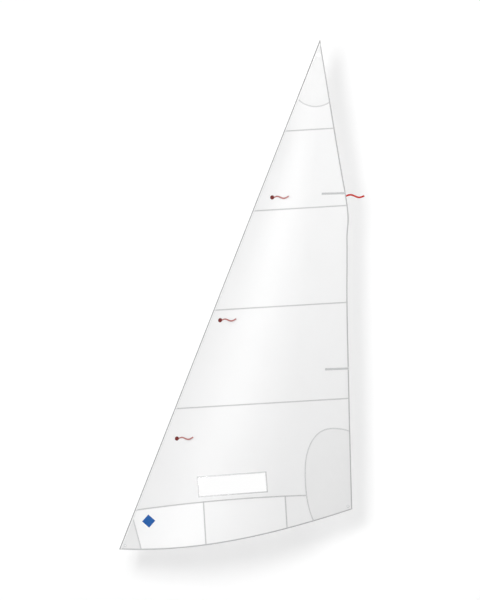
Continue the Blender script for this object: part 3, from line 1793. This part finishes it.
@dataclass
class Telltales:
    """Seven ribbons: three on each face behind the luff, held by stick-on dots, and one at the leech."""

    red: RibbonFinish
    ribbons: dict[Side, RibbonFinish]
    dots: dict[Side, DotFinish]
    dot_radius: float = 0.0203
    dot_thickness: float = 0.0004
    dot_stand: float = 0.0011
    dot_rim: float = 0.95
    dot_edge: tuple[float, ...] = (1.0, 0.985, 0.95)
    dot_middle: tuple[float, int] = (0.88, 23)
    dot_rounding: float = 0.4
    luff_wave: tuple[float, float, float, float] = (-0.0035, 0.0110, 0.047, 0.140)
    leech_wave: tuple[float, float, float, float] = (0.0010, 0.0118, 0.047, 0.171)
    luff_length: float = 0.166
    leech_length: float = 0.182
    leech_held: float = 0.012
    hollow: float = 1.3

    def dot(self, which: str, side: Side) -> None:
        """A thin disc with a rounded rim that follows the cloth, over the root of its ribbon.

        A square grid is drawn round into the disc: x = u·√(1 - v²/2) and y = v·√(1 - u²/2).

        Args:
            which: which pair it belongs to.
            side: the face it is stuck to.
        """
        hinge = joint(f"{which}_telltale_{side.word}_swing")
        seat = Seat.facing(hinge["pos_m"], hinge["axis"])
        edge, (reach, count) = np.array(self.dot_edge), self.dot_middle
        line = np.concatenate([-edge, np.linspace(-reach, reach, count), edge[::-1]])
        u, v = np.meshgrid(line, line)
        x, y = u * np.sqrt(1 - v * v / 2), v * np.sqrt(1 - u * u / 2)
        out = np.hypot(x, y)
        rim = self.dot_rounding * self.dot_thickness * np.clip((out - self.dot_rim) / (1 - self.dot_rim), 0, 1) ** 2
        local = self.dot_radius * np.stack([x, y, 0 * x], axis=-1)
        face = PLAN.layer(0)[0] if side is Side.PORT else PLAN.layer(1)[1]
        floor = (PLAN.lay(seat.out(local)[..., [0, 2]], face) - seat.origin) @ seat.z + self.dot_stand
        heights = (floor + rim, floor + self.dot_thickness - rim)
        points = seat.out(np.stack([local + np.stack([0 * x, 0 * x, height], axis=-1) for height in heights]))
        node = f"{which}_telltale_dot_{side.word}"
        faces, plan = sheet_faces(*x.shape), np.stack([out, np.arctan2(y, x)], axis=-1)
        material = self.dots[side].dress(node)
        put(f"{node}_disc", node, points, faces, material, plan, crease=70.0)

    def build(self) -> None:
        """Builds every ribbon and dot."""
        for which in ("upper", "middle", "lower"):
            for side in Side:
                Ribbon(
                    f"{which}_telltale_{side.word}", f"{side.word}_ribbon", self.ribbons[side], self.luff_length,
                    self.dot_radius, -side.value, 0.0 if side is Side.PORT else self.hollow, self.luff_wave,
                ).build()
                self.dot(which, side)
        Ribbon(
            "leech_telltale", "port_ribbon", self.red, self.leech_length, self.leech_held, -1.0, 0.0, self.leech_wave
        ).build()


@dataclass
class Rings:
    """A pressed ring and its washer at each corner, turned from a rounded profile."""

    finish: MetalFinish
    bore: float = 0.007
    wall: float = 0.001
    flange: float = 0.014
    flange_thickness: float = 0.0012
    lip: float = 0.0096
    rim: float = 0.0135
    round_off: float = 0.00045
    most_of_side: float = 0.45
    sides: int = 96
    round_points: int = 5
    mark: str = "_ring_face"

    def rounded(self, profile: Array) -> Array:
        """Rounds each corner of a closed profile with a curve that starts and ends a little way from it.

        Each corner B between its neighbours becomes (1-t)²A + 2t(1-t)B + t²C, A and C lying on the two sides.

        Args:
            profile: the corners.

        Returns:
            The rounded profile's points.
        """
        ends = []
        for step in (1, -1):
            side = np.roll(profile, step, axis=0) - profile
            far = np.linalg.norm(side, axis=1, keepdims=True)
            ends.append((profile + side / far * np.minimum(self.round_off, self.most_of_side * far))[:, None])
        t = np.linspace(0, 1, self.round_points)[None, :, None]
        curve = (1 - t) ** 2 * ends[0] + 2 * t * (1 - t) * profile[:, None] + t**2 * ends[1]
        return curve.reshape(-1, 2)

    def turn(self, name: str, node: str, profile: list[tuple[float, float]], seat: Seat) -> None:
        """Turns a profile about z, and puts it in its node's place.

        Args:
            name: the piece's name.
            node: the node that it replaces.
            profile: corners of radius and height.
            seat: where z stands.
        """
        angles = np.linspace(0, 2 * math.pi, self.sides, endpoint=False)[:, None]
        r, h = self.rounded(np.array(profile)).T
        local = np.stack(np.broadcast_arrays(r * np.cos(angles), r * np.sin(angles), h), axis=-1)
        faces = quads(closed(closed(np.arange(self.sides * len(r)).reshape(self.sides, -1), 0)))
        put(name, node, seat.out(local), faces, self.finish.dress(name), crease=60.0)

    def build(self) -> None:
        """Builds the rings and washers on the axes that the record's faces give."""
        for mount in frame["record"]["mounts"]:
            if not mount["name"].endswith(self.mark):
                continue
            corner = mount["name"].removesuffix(self.mark)
            node = f"{corner}_ring"
            seat = Seat.facing(node_points(node).mean(axis=0), mount["axis"])
            heights = [(node_points(n) - seat.origin) @ seat.z for n in (node, f"{node}_washer")]
            (foot, top), (deep, high) = ((float(h.min()), float(h.max())) for h in heights)
            low, under, barrel = foot + self.wall, top - self.flange_thickness, self.bore + self.wall
            self.turn(f"{node}_turned", node, [
                (self.bore, top), (self.flange, top), (self.flange, under), (barrel, under), (barrel, low),
                (self.lip, low), (self.lip, foot), (self.bore, foot),
            ], seat)
            hole = barrel + PLAN.gap
            washer = [(hole, high), (hole, deep), (self.rim, deep), (self.rim, high)]
            self.turn(f"{corner}_washer_turned", f"{node}_washer", washer, seat)


@dataclass
class Battens:
    """Two flat battens, each in a sewn pocket that is open at the leech."""

    pocket: PocketFinish
    batten: BattenFinish
    cloth: float = 0.0005
    hem: float = 0.0035
    half: float = 0.0075
    thick: float = 0.002
    shut_end: float = 0.004
    crown: float = 0.00035
    shoulder: float = 0.0006
    eaves: float = 0.0008
    mouth: tuple[float, ...] = (-0.004, -0.0015, -0.0004, 0.0)
    hem_share: float = 0.8
    side_points: int = 6
    flat_points: int = 9
    outside_steps: int = 60
    inside_steps: int = 40

    def seat(self, which: str) -> Seat:
        """Finds a pocket's seat from its node.

        Args:
            which: upper or lower.

        Returns:
            The seat: x along the batten's slide, z off the pocket's flat back, at its mouth.
        """
        x = unit(np.array(joint(f"{which}_batten_slide")["axis"], float))
        points = node_points(f"{which}_batten_pocket")
        middle = points.mean(axis=0)
        _, _, ways = np.linalg.svd(points - middle, full_matrices=False)
        z = ways[2] * (-1 if ways[2][1] > 0 else 1)
        z = unit(z - x * (z @ x))
        y = np.cross(z, x)
        along, across, off = ((points - middle) @ way for way in (x, y, z))
        return Seat(middle + along.max() * x + (across.max() + across.min()) / 2 * y + off.min() * z, x, y, z)

    def outside(self) -> Array:
        """The pocket's outside section: flat back, hems, rounded shoulders and a crowned roof.

        Returns:
            A closed loop of points across and off the cloth.
        """
        half, roof = self.half + PLAN.gap + self.cloth, 2 * self.cloth + self.thick + 2 * PLAN.gap
        turn, foot = np.linspace(0, 1, self.side_points), half + self.hem
        rise = np.stack([
            half + self.shoulder * (1 - 2 * turn), self.cloth + (roof - self.cloth) * smooth(turn),
        ], axis=-1)
        top = np.linspace(half - self.eaves, -half + self.eaves, self.flat_points)
        roof_line = np.stack([top, roof + self.crown * (1 - (top / half) ** 2)], axis=-1)
        right = np.concatenate([[(foot, 0.0), (foot, self.cloth * self.hem_share)], rise])
        floor = np.linspace(-foot, foot, self.flat_points)[1:-1]
        back = np.stack([floor, 0 * floor], axis=-1)
        return np.concatenate([right, roof_line, right[::-1] * np.array([-1.0, 1.0]), back])

    def inside(self, outer: Array) -> Array:
        """The pocket's inside section, a rectangle whose points match the outside's by angle about its middle.

        Args:
            outer: the outside section.

        Returns:
            A closed loop with as many points.
        """
        half, rise = self.half + PLAN.gap, self.thick / 2 + PLAN.gap
        middle = self.cloth + rise
        angle = np.arctan2((outer[:, 1] - middle) * half / rise, outer[:, 0])
        across, up = np.cos(angle), np.sin(angle)
        scale = 1 / np.maximum(np.abs(across), np.abs(up))
        return np.stack([half * across * scale, middle + rise * up * scale], axis=-1)

    def build(self) -> None:
        """Builds the pockets, each a tube from its shut end out to its mouth and back inside, and coats the battens."""
        outer = self.outside()
        inner = self.inside(outer)
        for which in ("upper", "lower"):
            node, seat = f"{which}_batten_pocket", self.seat(which)
            length = float(np.ptp(node_points(node) @ seat.x))
            steps = [*np.linspace(-length, self.mouth[0], self.outside_steps), *self.mouth[1:]]
            back = np.linspace(0.0, -length + self.shut_end, self.inside_steps)
            rings = [(x, outer) for x in steps] + [(x, inner) for x in back]
            points = np.array([np.column_stack([np.full(len(ring), x), ring]) for x, ring in rings])
            faces, plan = tube_faces(*points.shape[:2]), points[..., :2] + (1.0, 0.0)
            material = self.pocket.dress(node)
            put(f"{node}_sewn", node, seat.out(points), faces, material, plan, crease=35.0)
            coat(f"{which}_batten", self.batten)


@dataclass
class Sticker:
    """A plain diamond of blue film on the tack cloth."""

    finish: StickerFinish
    place: tuple[float, float] = (0.292, 0.249)
    reach: float = 0.062
    thickness: float = 0.0002
    points: int = 24

    def build(self) -> None:
        """Builds the diamond as a grid turned by an eighth of a turn, laid on the cloth."""
        line = np.linspace(-1, 1, self.points)
        u, v = np.meshgrid(line, line)
        s, d = self.place[0] + self.reach * (u - v) / 2, self.place[1] + self.reach * (u + v) / 2
        high = PLAN.layer(1)[0] - PLAN.gap
        material, edges, under = self.finish.dress("tack_sticker"), np.ones((*s.shape, 4)), ("tack_foot_panel_cloth",)
        faces = (high - self.thickness, high)
        Sheet("tack_sticker", "sticker", material, faces, s, d, edges, rests_on=under).build()


# The studio


@dataclass
class Studio:
    """A white wall behind the sail that takes its soft shadow, a pale floor, the lamps and the camera."""

    aim: tuple[float, float, float] = (1.1, 0.0, 2.35)
    wall_y: float = 0.58
    floor_z: float = -0.56
    wall_ends: tuple[float, float, float] = (-9.0, 11.0, 9.0)
    floor_ends: tuple[float, float] = (-20.0, 22.0)
    pixel: float = 0.0094
    picture_height: int = 600
    picture_middle: tuple[float, float] = (239.5, 299.5)
    tack_in_picture: tuple[float, float] = (118.75, 548.85)
    camera_off: float = 14.0
    key_power: float = 834.0
    key_size: float = 3.6
    key_distance: float = 11.0
    key_left: float = math.radians(14.5)
    key_up: float = math.radians(7.0)
    fill_place: tuple[float, float, float] = (5.0, -4.5, 5.5)
    fill_size: float = 2.5
    fill_power: float = 104.0
    back_place: tuple[float, float, float] = (4.1, 8.0, 5.85)
    back_size: float = 4.0
    back_power: float = 330.0
    ambient: float = 0.42
    wall_tone: float = 0.94
    floor_tone: float = 0.7
    shadow_share: float = 0.52
    shadow_middle: tuple[float, float, float] = (1.1, 0.3, 1.5)
    shadow_reach: float = 3.6

    def seen_by(self, board: Board, way: str) -> Value:
        """1 for rays of one kind, named as the Light Path node names them, and 0 for others."""
        return board.add("ShaderNodeLightPath", out=f"Is {way} Ray")

    def backdrop(self, name: str, tone: float, one_sided: bool) -> bpy.types.Material:
        """White as the camera sees it, with part of its tone from the light on it, so that it keeps a pale shadow.

        That part is largest round the sail and gone far from it, where no shadow falls.

        Args:
            name: the material's name.
            tone: how much light it gives back to the sail.
            one_sided: whether it is clear from behind and lets lamps through.

        Returns:
            The material.
        """
        board = Board(name)
        camera, glossy, through = (self.seen_by(board, way) for way in ("Camera", "Glossy", "Transmission"))
        colour = board.mix(camera, (tone,) * 3, (self.wall_tone,) * 3)
        lit = board.add("ShaderNodeBsdfDiffuse", None, {"Color": colour})
        white = board.add("ShaderNodeEmission", None, {"Color": (1.0, 1.0, 1.0), "Strength": 1.0})
        ends = {0: board.place(), 1: self.shadow_middle}
        reach = board.add("ShaderNodeVectorMath", {"operation": "DISTANCE"}, ends, "Value")
        shade = (1 - (reach - self.shadow_reach) / self.shadow_reach).held() * self.shadow_share
        shown = board.blend(camera * (1 - shade) + glossy.most(through), lit, white)
        if not one_sided:
            return board.close(shown)
        clear = board.add("ShaderNodeNewGeometry", out="Backfacing").most(self.seen_by(board, "Shadow"))
        return board.close(board.blend(clear, shown, board.add("ShaderNodeBsdfTransparent")))

    def sheet(self, name: str, corners: list[tuple[float, ...]], material: bpy.types.Material) -> None:
        """A flat stage piece.

        Args:
            name: its name.
            corners: its four corners.
            material: its only material.
        """
        mesh = bpy.data.meshes.new(name)
        mesh.from_pydata(corners, [], [(0, 1, 2, 3)])
        mesh.materials.append(material)
        link(name, mesh)

    def lamp(self, name: str, place: Array, size: float, power: float) -> None:
        """A soft square lamp that faces the sail.

        Args:
            name: its name.
            place: where it stands.
            size: its width.
            power: watts.
        """
        data = bpy.data.lights.new(name, "AREA")
        data.shape, data.size, data.size_y, data.energy = "RECTANGLE", size, size, power
        way = unit(place - np.array(self.aim))
        right = unit(np.cross((0.0, 0.0, 1.0), way))
        turn = np.eye(4)
        turn[:3] = np.stack([right, np.cross(way, right), way, place], axis=1)
        link(name, data).matrix_world = Matrix(turn.tolist())

    def build(self) -> None:
        """Builds the stage, lamps, world and camera."""
        y, z, (left, right, top), (near, far) = self.wall_y, self.floor_z, self.wall_ends, self.floor_ends
        wall, floor = self.backdrop("wall", self.wall_tone, True), self.backdrop("floor", self.floor_tone, False)
        self.sheet("wall", [(left, y, z), (right, y, z), (right, y, top), (left, y, top)], wall)
        self.sheet("floor", [(near, near, z), (far, near, z), (far, far, z), (near, far, z)], floor)
        way = np.array((-math.tan(self.key_left), -1.0, math.tan(self.key_up)))
        self.lamp("key", self.aim + self.key_distance * way, self.key_size, self.key_power)
        self.lamp("fill", np.array(self.fill_place), self.fill_size, self.fill_power)
        self.lamp("back", np.array(self.back_place), self.back_size, self.back_power)
        self.world()
        self.camera()
        bpy.context.scene.view_settings.view_transform = "Standard"

    def world(self) -> None:
        """Light from all round, which shows as white to the camera, in mirrors and through the film."""
        world = bpy.data.worlds.new("studio")
        bpy.context.scene.world = world
        board = Board(world)
        camera, glossy, through = (self.seen_by(board, way) for way in ("Camera", "Glossy", "Transmission"))
        strength = camera.most(glossy).most(through) * (1.0 - self.ambient) + self.ambient
        board.close(board.add("ShaderNodeBackground", None, {"Color": (1.0, 1.0, 1.0), "Strength": strength}))

    def camera(self) -> None:
        """A camera square to the sail from port, far enough off that its rays run side by side."""
        data = bpy.data.cameras.new("camera")
        data.type, data.ortho_scale = "ORTHO", self.picture_height * self.pixel
        made = link("camera", data)
        (x, y), (tack_x, tack_y) = self.picture_middle, self.tack_in_picture
        made.location = ((x - tack_x) * self.pixel, -self.camera_off, (tack_y - y) * self.pixel)
        made.rotation_euler = (math.pi / 2, 0.0, 0.0)
        bpy.context.scene.camera = made


def main() -> None:
    """Builds the dressed sail and its studio."""
    logging.basicConfig(level=logging.INFO, format="%(name)s: %(message)s")
    pulls = ((np.zeros(2), 0.7), (PLAN.clew, 1.1), (PLAN.head, 0.9))
    cloth = ClothFinish(corners=tuple((*map(float, PLAN.plan_of(point)), reach) for point, reach in pulls))
    window, body = Window(FilmFinish()), Body(cloth)
    body.build(window)
    window.build()
    CornerPatches(replace(
        cloth, see_through=0.0, colour=(0.68, 0.68, 0.68), shade=(0.65, 0.65, 0.65), sewn=(Edge.LOW,), round_seam=True
    )).build()
    luff = TapeFinish(
        colour=(0.76, 0.76, 0.76), groove=(0.72, 0.72, 0.72), thread=(0.55, 0.55, 0.555), front=(0.16, 0.16, 0.165),
        front_width=0.005, sealed=0.0045, ridges=body.laps_at_luff(), width=EdgeTapes.luff_width,
        lean=float((PLAN.luff_aft @ PLAN.square) / (PLAN.luff_way @ PLAN.square)),
    )
    EdgeTapes(luff, TapeFinish()).build()
    faded = RibbonFinish((0.46, 0.19, 0.18), (0.34, 0.12, 0.115))
    green = RibbonFinish((0.02, 0.26, 0.09), (0.01, 0.12, 0.04))
    red_dot = DotFinish((0.12, 0.011, 0.010), (0.21, 0.035, 0.032))
    green_dot = DotFinish((0.01, 0.12, 0.04), (0.08, 0.24, 0.13))
    Telltales(
        RibbonFinish((0.50, 0.012, 0.006), (0.38, 0.008, 0.004), width=0.016),
        {Side.PORT: faded, Side.STARBOARD: green}, {Side.PORT: red_dot, Side.STARBOARD: green_dot},
    ).build()
    Rings(MetalFinish()).build()
    Battens(PocketFinish(), BattenFinish()).build()
    Sticker(StickerFinish()).build()
    coat("luff_rope", RopeFinish())
    Studio().build()


if __name__ == "__main__":
    main()
